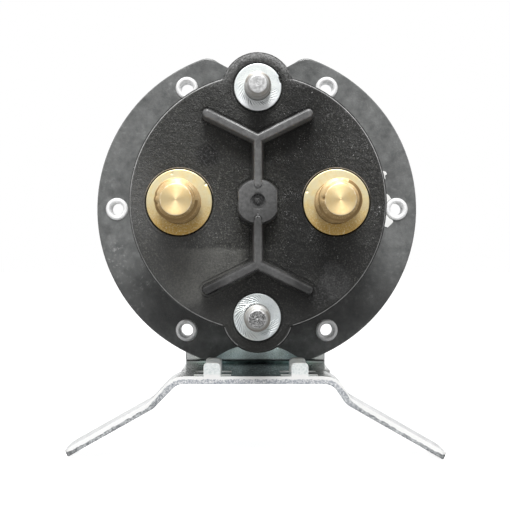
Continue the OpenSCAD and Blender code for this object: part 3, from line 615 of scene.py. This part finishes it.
def turned_metal(name, base, roughness, anisotropy, groove, stain, streaks=0.0, tarnish_and_shade=None, depth=0.006):
    """Lathe-turned metal: fine concentric grooves round the piece's own axis along Y, and blotches of base
    times stain. streaks is the strength of scratches that run outwards, and tarnish_and_shade is a darker
    tone, tarnish with painted shade, of the lower part: its colour, the z where it starts and the z where it
    is full."""
    f = Finish(name, Metallic=1.0, Anisotropic=anisotropy, Anisotropic_Rotation=0.25)
    middle = f.vector("SUBTRACT", f.node("TexCoord", "Generated"), (0.5, 0.5, 0.5))
    flat = f.vector("MULTIPLY", middle, (1.0, 0.0, 1.0))
    rings = f.node("TexNoise", 0, {"noise_dimensions": "1D"}, W=f.vector("LENGTH", flat, output=1),
                   Scale=12 / groove, Detail=3.0, Roughness=0.6)
    spokes = f.node("TexNoise", 0, Vector=f.vector("NORMALIZE", flat), Scale=22.0, Detail=3.0, Roughness=0.7)
    blotch = f.noise(1.6, 4.0, 0.6)
    marks = f.most(f.times(f.fit(spokes, 0.5, 0.72), streaks), f.fit(blotch, 0.42, 0.75))
    tone = f.mix(marks, colour(*base), scaled(base, *stain))
    # Tarnish and painted shade darken the lower part.
    if tarnish_and_shade:
        tint, starts, full = tarnish_and_shade
        wavy = f.plus(f.axis(2), f.times(f.math("SUBTRACT", spokes, 0.5), 3.0))
        speckle = f.fit(f.noise(0.30, 4.0, 0.75), 0.50, 0.64, 0.0, 0.75)
        tarnished_and_shaded = f.mix(speckle, colour(*tint), colour(*base))
        tone = f.mix(f.fit(wavy, starts, full, 0.0, 0.90), tone, tarnished_and_shaded)
    f.set(f.bsdf, Base_Color=tone, Roughness=f.fit(blotch, 0.3, 0.7, roughness - 0.04, roughness + 0.06),
          Normal=f.bump(f.blend(streaks, rings, spokes), depth),
          Tangent=f.node("Tangent", 0, {"direction_type": "RADIAL", "axis": "Y"}))
    return f.material


def sawn_metal(name, dark, light, grain, depth):
    """The rough, granular end of a cropped stud."""
    f = Finish(name, Metallic=1.0)
    speck = f.noise(grain, 3.0, 0.8)
    tone = f.mix(f.fit(speck, 0.42, 0.66), grey(dark), grey(light))
    f.set(f.bsdf, Base_Color=tone, Roughness=f.fit(speck, 0.3, 0.7, 0.30, 0.55),
          Normal=f.bump(f.plus(speck, f.cells(grain * 1.8)), depth))
    return f.material


# Height of the bracket's upper surface along X, from one foot's end to the other's
SHEET_TOP = ((-35.05, -45.28), (-20.5, -37.08), (-16.8, -33.35), (-15.4, -32.4), (-13.8, LEG_TOP_Z),
             (12.45, LEG_TOP_Z), (14.4, -32.57), (15.8, -33.75), (17.2, -35.8), (18.0, -36.52),
             (34.29, -45.81))


def sheet_top(f, x):
    """Height of the bracket's upper surface at x, from a curve through SHEET_TOP."""
    left, right = SHEET_TOP[0][0], SHEET_TOP[-1][0]
    bottom, span = -50.0, 20.0
    curve = f.tree.nodes.new("ShaderNodeFloatCurve")
    points = curve.mapping.curves[0].points
    for place, height in SHEET_TOP[1:-1]:
        points.new((place - left) / (right - left), (height - bottom) / span)
    points[0].location = (0.0, (SHEET_TOP[0][1] - bottom) / span)
    points[-1].location = (1.0, (SHEET_TOP[-1][1] - bottom) / span)
    for point in points:
        point.handle_type = "VECTOR"
    curve.mapping.update()
    f.set(curve, Value=f.fit(x, left, right))
    return f.math("MULTIPLY_ADD", curve.outputs[0], span, bottom)


def broken_tone(f, aside, grain):
    """Torn metal of a cut: bright on the leg, duller along the feet, and dark at their tips."""
    bright = f.mix(f.fit(grain, 0.42, 0.62), colour(0.34, 0.37, 0.42), grey(0.99))
    dull = f.mix(f.fit(grain, 0.40, 0.62), colour(0.12, 0.13, 0.14), colour(0.78, 0.80, 0.81))
    tips = f.times(f.fit(aside, 32.5, 34.3), f.fit(f.noise(0.6), 0.35, 0.55), 0.7)
    return f.mix(tips, f.mix(f.fit(aside, 15.0, 20.0), bright, dull), grey(0.06))


def coined_tone(f, z):
    """Fronts of the guide tabs, dark along their tops."""
    speckle = f.fit(f.noise(0.45, 4.0, 0.7), 0.42, 0.62)
    tone = f.mix(speckle, colour(0.96, 0.99, 0.98), colour(0.73, 0.79, 0.78))
    return f.mix(f.fit(z, -29.75, -29.5, 0.0, 0.7), tone, colour(0.30, 0.33, 0.32))


def sheared_edge():
    """Cut edge of plated sheet: a burnished band above, a broken one below, and a ragged line between.
    Above the leg it is the front of the guide tabs."""
    f = Finish("sheared_edge", Metallic=0.2)
    x, z = f.axis(0), f.axis(2)
    aside = f.absolute(x)
    grain = f.noise(0.30, 5.0, 0.75)
    below_top = f.ragged(f.math("SUBTRACT", sheet_top(f, x), z), 0.9, 1.1, 4.0, 0.7)
    below_top = f.math("SUBTRACT", below_top, f.fit(aside, 17.0, 20.0, 0.0, 0.3))
    burnished = f.fit(below_top, 1.0, 1.12, 1.0, 0.0)
    tone = f.mix(burnished, broken_tone(f, aside, grain), colour(0.98, 0.98, 0.97))
    tone = f.mix(f.fit(z, LEG_TOP_Z + 0.1, LEG_TOP_Z + 0.5), tone, coined_tone(f, z))
    f.set(f.bsdf, Base_Color=tone, Roughness=f.blend(burnished, f.fit(grain, 0.3, 0.7, 0.42, 0.62), 0.62),
          Normal=f.bump(f.times(grain, f.blend(burnished, 1.0, 0.12)), 0.16))
    return f.material


finishes = {
    "black_moulding": black_moulding(),
    "seal_rubber": moulding("seal_rubber", (0.022, 0.021, 0.021), 0.6),
    "zinc_plate": zinc("zinc_plate"),
    "eyelet_metal": rolled_rim("eyelet_metal"),
    "terminal_brass": metal("terminal_brass", (0.85, 0.62, 0.27), 0.25),
    "stud_steel": metal("stud_steel", (0.70, 0.72, 0.73), 0.3),
    "winding_copper": metal("winding_copper", (0.80, 0.40, 0.20), 0.3),
    "insulation": moulding("insulation", (0.14, 0.045, 0.03), 0.5),
    "inner_steel": metal("inner_steel", (0.52, 0.54, 0.56), 0.32),
    "bobbin_nylon": moulding("bobbin_nylon", (0.72, 0.68, 0.58), 0.45),
}
for part in frame["record"]["subparts"]:
    mesh = nodes[part["node"]].data
    mesh.materials.clear()
    mesh.materials.append(finishes[part["material_slot"]])


# Studs

# Sizes of a stud's thread and tip, and behind seat_y, where the thread ends, rows of [radius, y, shape]
Stud = namedtuple("Stud", "radius pitch tip_r tip_y chamfer seat_y columns rear")
MAIN_STUD = Stud(
    radius=3.9, pitch=1.058, tip_r=2.78, tip_y=-13.3, chamfer=1.4, seat_y=0.1, columns=144,
    rear=((3.9, 0.18, "round"), (4.17, 0.18, "round"), (4.17, 11.9, "round"), (5.8, 11.9, "flats"),
          (5.8, 15.1, "flats"), (0.0, 15.1, "round")))
COIL_STUD = Stud(
    radius=2.34, pitch=0.794, tip_r=1.6, tip_y=-7.9, chamfer=0.85, seat_y=-0.2, columns=64,
    rear=((2.34, -0.12, "round"), (2.615, -0.12, "round"), (2.615, 4.4, "round"), (3.1, 4.4, "square"),
          (3.1, 7.0, "square"), (0.0, 7.0, "round")))

# One turn of thread: place along the pitch and share of the thread's depth
THREAD = ((0.0, 0.12), (0.02, 0.0), (0.105, 0.0), (0.125, 0.12), (0.42, 0.9), (0.46, 1.0), (0.665, 1.0),
          (0.705, 0.9))
THREAD_DEPTH = 0.6134           # in pitches
# Pip that the parting tool left in the middle of a tip: radius, and y from the tip
PIP = ((0.0, -0.02), (0.09, -0.015), (0.16, 0.01), (0.24, 0.0))
TIP_ROUNDING = 0.05             # between the flat of the tip and its chamfer


def chamfer_r(kind, y):
    """Radius of a stud's chamfer at y."""
    slope = (kind.radius - kind.tip_r) / (kind.chamfer - TIP_ROUNDING)
    return kind.tip_r + (y - kind.tip_y - TIP_ROUNDING) * slope


def stud_rows(kind, turned, nicks):
    """Radius and y of each row of points from the tip's middle to the seat. The thread is right-handed, and
    each nick in it is [degrees, y, width in degrees, height, depth]."""
    rows = [(r, kind.tip_y + dy) for r, dy in PIP]
    rows += [(r, kind.tip_y) for r in np.linspace(0.5, kind.tip_r - 0.14, 6)]
    rows += [(kind.tip_r - 0.05, kind.tip_y + 0.015)]
    first_y = kind.tip_y + TIP_ROUNDING
    share = np.linspace(0, 1, kind.columns + 1)
    for turn in range(int((kind.seat_y - kind.tip_y) / kind.pitch) + 3):
        for place, depth in THREAD:
            y = np.clip(first_y + (turn + place - 1 + share) * kind.pitch, first_y, kind.seat_y)
            fade = smooth_step((kind.seat_y - y) / (0.6 * kind.pitch))
            r = np.minimum(kind.radius - depth * THREAD_DEPTH * kind.pitch * fade, chamfer_r(kind, y))
            for degrees, at_y, wide, high, deep in nicks:
                away = angle_from(turned, degrees) / math.radians(wide)
                r = r - deep * np.exp(-away ** 2 - ((y - at_y) / high) ** 2)
            rows.append((r, y))
    return rows


def threaded_stud(name, kind, centre, start, lean=0.0, nicks=()):
    """A stud whose thread starts at an angle of start radians. lean moves the tip along Z."""
    turned = start - np.linspace(0, TAU, kind.columns + 1)
    points = []
    for r, y in stud_rows(kind, turned, nicks):
        leaning = lean * (y - kind.seat_y) / (kind.tip_y - kind.seat_y)
        points.append(points_round(centre, r * np.cos(turned), y, r * np.sin(turned) + leaning))
    for r, y, shape in kind.rear:
        x, z = r * np.cos(turned), r * np.sin(turned)
        if shape == "flats":
            z = np.clip(z, -HEAD_FLAT, HEAD_FLAT)
        if shape == "square":
            longer = np.maximum(np.maximum(abs(x), abs(z)), 1e-9)
            x, z = r * x / longer, r * z / longer
        points.append(points_round(centre, x, y, z))
    faces = grid_faces(len(points), kind.columns + 1, closed=False)
    return add_mesh(name, np.concatenate(points), faces, smooth=38)


def paint_stud(stud, kind, centre, lean, materials, bright_pip=False):
    """Four materials: on a stud's flat end, on its thread, on the paler edge between, paled by wear and
    painted highlight, and in the grooves. A bright pip has the paler edge's."""
    for material in materials:
        stud.data.materials.append(material)
    for polygon in stud.data.polygons:
        c = polygon.center / MM
        x, z = c.x - centre[0], c.z - centre[1]
        far = math.hypot(x, z - lean * min(c.y / kind.tip_y, 1.0))
        if c.y < kind.tip_y + 0.9 * TIP_ROUNDING:
            around = math.atan2(z, x)
            ragged = 0.03 * math.sin(5 * around + 1) + 0.03 * math.sin(13 * around)
            polygon.material_index = 2 if far > kind.tip_r - 0.09 + ragged else 0
        else:
            polygon.material_index = 3 if far < min(kind.radius, chamfer_r(kind, c.y)) - 0.12 else 1
        if bright_pip and polygon.center.y < kind.tip_y * MM:
            polygon.material_index = 2


brass = (
    turned_metal("brass_face", (0.95, 0.76, 0.43), roughness=0.50, anisotropy=0.50, groove=0.11,
                 stain=(0.93, 0.85, 0.70)),
    turned_metal("brass_thread", (0.86, 0.68, 0.40), roughness=0.60, anisotropy=0.30, groove=0.09,
                 stain=(0.72, 0.58, 0.42), streaks=0.1, tarnish_and_shade=((0.42, 0.28, 0.12), 2.5, -3.0), depth=0.02),
    metal("brass_edge", (0.95, 0.82, 0.60), 0.6),
    metal("brass_groove", (0.36, 0.24, 0.11), 0.5),
)
steel = (
    turned_metal("steel_thread", (0.55, 0.55, 0.54), roughness=0.58, anisotropy=0.3, groove=0.13,
                 stain=(0.7, 0.68, 0.64)),
    metal("steel_edge", (0.76, 0.76, 0.77), 0.62),
    metal("steel_groove", (0.36, 0.34, 0.31), 0.45),
)
tip_top = sawn_metal("tip_top", dark=0.58, light=0.76, grain=0.50, depth=0.015)
tip_bottom = sawn_metal("tip_bottom", dark=0.12, light=0.60, grain=0.26, depth=0.06)

for side, sign, start, nicks in (
    ("left", -1, 1.07, ((180, -12.1, 5, 0.6, -0.10), (167, -12.0, 4, 0.8, 0.15), (192, -12.0, 5, 0.9, 0.20),
                        (140, -12.9, 12, 0.4, 0.1))),
    ("right", 1, 2.2, ((176, -13.1, 6, 0.5, 0.35), (205, -11.0, 12, 1.5, 0.2), (60, -12.9, 14, 0.4, 0.1))),
):
    centre = (sign * MAIN_X, 0)
    stud = threaded_stud(f"stud_{side}", MAIN_STUD, centre, start, nicks=nicks)
    paint_stud(stud, MAIN_STUD, centre, 0, brass)
    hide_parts(f"main_terminal_{side}")

for side, centre, start, lean, tip in (
    ("top", (0.0, COIL_Z), 2.9, -0.26, tip_top),
    ("bottom", (-0.1, -COIL_Z), 0.6, -0.08, tip_bottom),
):
    stud = threaded_stud(f"coil_stud_{side}_cut", COIL_STUD, centre, start, lean)
    paint_stud(stud, COIL_STUD, centre, lean, (tip, *steel), bright_pip=side == "bottom")
    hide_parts(f"coil_stud_{side}")


# Collars

def dented(dents):
    """Dents in a collar's front, each [radius, degrees, size, depth]."""
    def change(r, y, a):
        front = smooth_step((0.6 - y) / 0.6)
        for at_r, degrees, size, deep in dents:
            at = math.radians(degrees)
            gap = np.hypot(r * np.cos(a) - at_r * math.cos(at), r * np.sin(a) - at_r * math.sin(at))
            y = y + front * deep * np.exp(-(gap / size) ** 2)
        return r, y
    return change


collar_profile = [(4.195, 0.15), (3.985, 0.15), (3.985, 0.02), (4.0, 0.0)]
collar_profile += [(r, 0.0) for r in np.linspace(4.4, COLLAR_R - 0.14, 14)]
collar_profile += [(COLLAR_R - 0.05, 0.01), (COLLAR_R - 0.015, 0.04), (COLLAR_R, 0.08),
                   (COLLAR_R, COLLAR_T - 0.12), (COLLAR_R - 0.12, COLLAR_T), (4.3, COLLAR_T),
                   (4.195, COLLAR_T - 0.12)]
brass_collar = turned_metal("brass_collar", (0.99, 0.90, 0.60), roughness=0.46, anisotropy=0.1, groove=0.10,
                            stain=(0.92, 0.82, 0.58), streaks=0.45, tarnish_and_shade=((0.66, 0.40, 0.09), 1.0, -4.5))
for side, sign, dents in (
    ("left", -1, ((5.85, 34, 0.18, 0.16), (5.35, 104, 0.16, 0.06), (5.9, 250, 0.2, 0.08),
                  (4.9, 312, 0.12, 0.05))),
    ("right", 1, ((5.7, 160, 0.2, 0.1), (5.9, 285, 0.25, 0.12))),
):
    piece = lathe(f"collar_{side}", collar_profile, 256, (sign * MAIN_X, 0), dented(dents))
    piece.data.materials.append(brass_collar)
    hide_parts("main_collars")


# Serrated washers

WASHER_R, WASHER_BORE = 4.3, 2.43
TEETH, TOOTH_DEPTH = 40, 0.14


def tooth_strength(index):
    """A share of the depth for each tooth, from 0.35 to 1, which looks random and is always the same."""
    return 0.35 + 0.65 * (np.sin(12.9898 * index) * 43758.5453 % 1.0)


def serrated(twist, patches, cut=None):
    """Curved serrations pressed into a washer's front, which lean by twist. They are strong in patches of
    [degrees, width in degrees, radius, size, strength]. cut is a cut in the rim, [degrees, half width in
    degrees, depth]."""
    def change(r, y, a):
        curved = a + twist * np.log(np.maximum(r, WASHER_BORE) / WASHER_BORE)
        place = TEETH * curved / TAU + 0.30 * np.sin(5 * a)
        phase, index = place % 1.0, np.floor(place) % TEETH
        tooth = np.where(phase < 0.12, phase / 0.12, np.maximum(1 - (phase - 0.12) / 0.5, 0))
        inside = smooth_step((r - WASHER_BORE - 0.1) / 0.15) * smooth_step((WASHER_R - 0.1 - r) / 0.2)
        strength = sum(
            more * np.exp(-(angle_from(a, degrees) / math.radians(width)) ** 2 - ((r - at_r) / size) ** 2)
            for degrees, width, at_r, size, more in patches)
        pressed = TOOTH_DEPTH * tooth * tooth_strength(index) * inside * strength
        y = np.where(y < -0.2, y + pressed, y)
        if cut:
            degrees, width, depth = cut
            within = smooth_step((math.radians(width) - angle_from(a, degrees)) / 0.06)
            r = np.where(r > WASHER_R - 0.4, r - depth * within, r)
        return r, y
    return change


washer_profile = [(2.64, -0.15), (WASHER_BORE, -0.15), (WASHER_BORE, -0.28), (2.46, -0.3)]
washer_profile += [(r, -0.3) for r in np.linspace(2.5, WASHER_R - 0.12, 26)]
washer_profile += [(WASHER_R - 0.06, -0.28), (WASHER_R - 0.01, -0.24), (WASHER_R, -0.18), (WASHER_R, 0.55),
                   (WASHER_R - 0.05, 0.6), (2.7, 0.6), (2.64, 0.55)]
plate_top = zinc("plate_top", (0.78, 0.82, 0.83), 0.50, marks=washer_marks_and_light(0.7), lumps=0.025)
plate_bottom = zinc("plate_bottom", (0.86, 0.91, 0.93), 0.46, marks=washer_marks_and_light(0.6), lumps=0.025)
for side, centre, plate, change in (
    ("top", (0, COIL_Z), plate_top, serrated(
        -0.9, ((-70, 44, 3.0, 0.5, 1.3), (-128, 26, 2.95, 0.45, 1.1), (60, 40, 3.0, 0.5, 0.3),
               (200, 40, 3.2, 0.6, 0.4)), cut=(18, 9, 0.2))),
    ("bottom", (-0.1, -COIL_Z), plate_bottom, serrated(
        -1.2, ((-45, 30, 3.0, 0.5, 1.4), (168, 62, 3.5, 1.0, 1.0), (100, 30, 3.3, 0.9, 0.8),
               (235, 25, 3.8, 0.6, 0.7), (265, 28, 3.4, 0.8, 0.7), (330, 25, 3.6, 0.7, 0.6)))),
):
    piece = lathe(f"serrated_washer_{side}", washer_profile, 720, centre, change)
    piece.data.materials.append(plate)
    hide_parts("coil_washers")


# Springs

def coil_spring(name, body, mean_r, wire, y0, y1, turns):
    """A round-wire spring with closed ends between y0 and y1."""
    per_turn, sides = 40, 14
    closed = wire * 1.06
    pitch = (y1 - y0 - wire - 2 * closed) / (turns - 2)
    t = np.linspace(0, turns, turns * per_turn + 1)
    rise = np.where(t < 1, closed * t, np.where(t < turns - 1, closed + pitch * (t - 1),
                                                closed + pitch * (turns - 2) + closed * (t - turns + 1)))
    b = np.linspace(0, TAU, sides, endpoint=False)
    a = TAU * t[:, None]
    r = mean_r + wire / 2 * np.cos(b)
    y = y0 + wire / 2 + rise[:, None] + wire / 2 * np.sin(b)
    points = points_round((0, 0), r * np.cos(a), y, r * np.sin(a)).reshape(-1, 3)
    first_end = tuple(range(sides))
    last_end = tuple(range(len(points) - 1, len(points) - 1 - sides, -1))
    return add_mesh(name, points, grid_faces(len(t), sides) + [first_end, last_end], body)


# keep is a spring's length at the joint's limit, as a share of its length at rest
for name, node, body, joint, spring, anchor, keep in (
    ("return_coil", "return_spring", "housing", "plunger_slide",
     dict(mean_r=4.4, wire=0.8, y0=48.9, y1=61.05, turns=7), 48.9, 0.753),
    ("contact_coil", "contact_spring", "plunger", "contact_overtravel",
     dict(mean_r=4.6, wire=1.0, y0=20.85, y1=28.85, turns=5), 28.85, 0.9025),
):
    piece = coil_spring(name, body, **spring)
    piece.data.materials.append(finishes["inner_steel"])
    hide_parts(node)
    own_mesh(piece)


# Terminal cap

def cap_widths(edge):
    """Radius of the cap's outer edges: ribs, hub, gate, lips of the recesses, outline of the flange."""
    y, other_y = (v.co.y / MM for v in edge.verts)
    if abs(y - other_y) > 0.02:
        return 0.0
    place = edge_middle(edge)
    far = math.hypot(place.x, place.z)
    if abs(y - FLANGE_Y) < 0.01:
        return 0.3 if abs(far - EYELET_R) > 2 and far > CAP_R + 1 else 0.0
    if y < RIB_Y + 0.1:
        return 0.4
    if y < HUB_Y + 0.6:
        return 0.16 if far > 2 else 0.08
    if abs(y - FACE_Y) < 0.01:
        return 0.06 if far < 21 else 0.0
    if abs(y - LIP_Y) < 0.02:
        if math.hypot(abs(place.x) - MAIN_X, place.z) < COLLAR_R + 0.5:
            return 0.1
        if math.hypot(place.x, abs(place.z) - COIL_Z) < WASHER_R + 0.5:
            return 0.07
    return 0.0


def cap_paint(face):
    """2 on the rounded rims of the face and of the lower lobe, paled by wear and painted highlight, and 0
    elsewhere.
    """
    c = face.calc_center_median() / MM
    far = math.hypot(c.x, c.z)
    rounded = 0.02 < -face.normal.y < 0.99
    on_face = CAP_R - 0.7 < far < CAP_R + 0.05 and 0.5 < c.y < 0.85 and abs(c.x) > 6.3
    on_lobe = far > CAP_R and -26 < c.z < 0 and 1.0 < c.y < 1.6 and abs(c.x) < 6.2
    return 2 if rounded and (on_face or on_lobe) else 0


cap = bevelled_copy("cap_moulding", "terminal_cap", cap_widths, cap_paint, most=0.4, wear_and_highlight=1)
cap.data.materials.append(finishes["black_moulding"])
# Rounded edges are paled by wear and painted highlight, the rims most.
cap.data.materials.append(black_moulding("black_edges", wear_and_highlight=0.08))
cap.data.materials.append(black_moulding("black_rim", wear_and_highlight=0.75))


# Bracket

def bracket_paint(face):
    """0 on the sheet's faces, 1 on its sheared edges, 2 on the guide tabs and the sides of their holes."""
    c, n = face.calc_center_median() / MM, face.normal
    behind_leg = c.y > 40
    if behind_leg and c.z > LEG_TOP_Z + 1:
        return 0 if abs(n.y) > 0.9 else 1
    if behind_leg:
        return 1 if abs(n.x) > 0.9 else 0
    if c.z > LEG_TOP_Z + 0.05:
        return 2
    if c.y > LEG_FRONT_Y + 1 and abs(c.x) < 18 and abs(n.z) < 0.5:
        return 2
    return 0 if abs(n.z) > 0.52 else 1


def bracket_widths(edge):
    """Radius of the bracket's edges, larger at the ends of the feet and on the tabs."""
    place = edge_middle(edge)
    if abs(place.x) > 33:
        return 0.3
    return 0.22 if LEG_TOP_Z + 0.05 < place.z < -28 else 0.1


bracket = bevelled_copy("bracket_sheet", "bracket", bracket_widths, bracket_paint, most=0.3)
bracket.data.materials.append(zinc("zinc_sheet", (0.72, 0.86, 0.88), 0.2, marks=sheet_tone_and_reflections))
bracket.data.materials.append(sheared_edge())
# Guide tabs and the sides of their holes get a paler matt zinc, a painted reflection of white surroundings.
bracket.data.materials.append(zinc("zinc_tab", (0.96, 0.99, 0.99), 0.56, metallic=0.2))


# Flakes

def flake(name, outline):
    """A thin chip that lies on the flange, highest in the middle, with an outline of [x, z]."""
    count = len(outline)
    points = [(x, FLANGE_Y - high, z) for high in (0.0, 0.12) for x, z in outline]
    middle_x, middle_z = (sum(values) / count for values in zip(*outline))
    points.append((middle_x, FLANGE_Y - 0.2, middle_z))
    faces = [tuple(range(count))]
    faces += [(i, (i + 1) % count, count + (i + 1) % count, count + i) for i in range(count)]
    faces += [(count + i, count + (i + 1) % count, 2 * count) for i in range(count)]
    return add_mesh(name, points, faces, smooth=30)


# Three white flakes beside the right eyelet
flake_white = moulding("flake_white", (0.97, 0.97, 0.95), 0.7)
for name, outline in (
    ("flake_upper", ((25.2, 3.3), (26.9, 3.15), (27.35, 2.8), (27.8, 2.1), (27.1, 1.6), (26.75, 1.0),
                     (26.6, 0.3), (25.1, 0.2))),
    ("flake_lower", ((25.0, -0.5), (26.6, -0.6), (26.8, -1.2), (27.3, -1.8), (28.1, -2.3), (28.2, -2.7),
                     (27.7, -3.2), (27.1, -3.8), (26.5, -3.6), (25.2, -3.1))),
    ("flake_edge", ((26.1, 7.9), (26.7, 7.7), (26.9, 7.2), (26.5, 6.9), (26.6, 6.2), (26.1, 6.3),
                    (25.9, 7.0))),
):
    flake(name, outline).data.materials.append(flake_white)
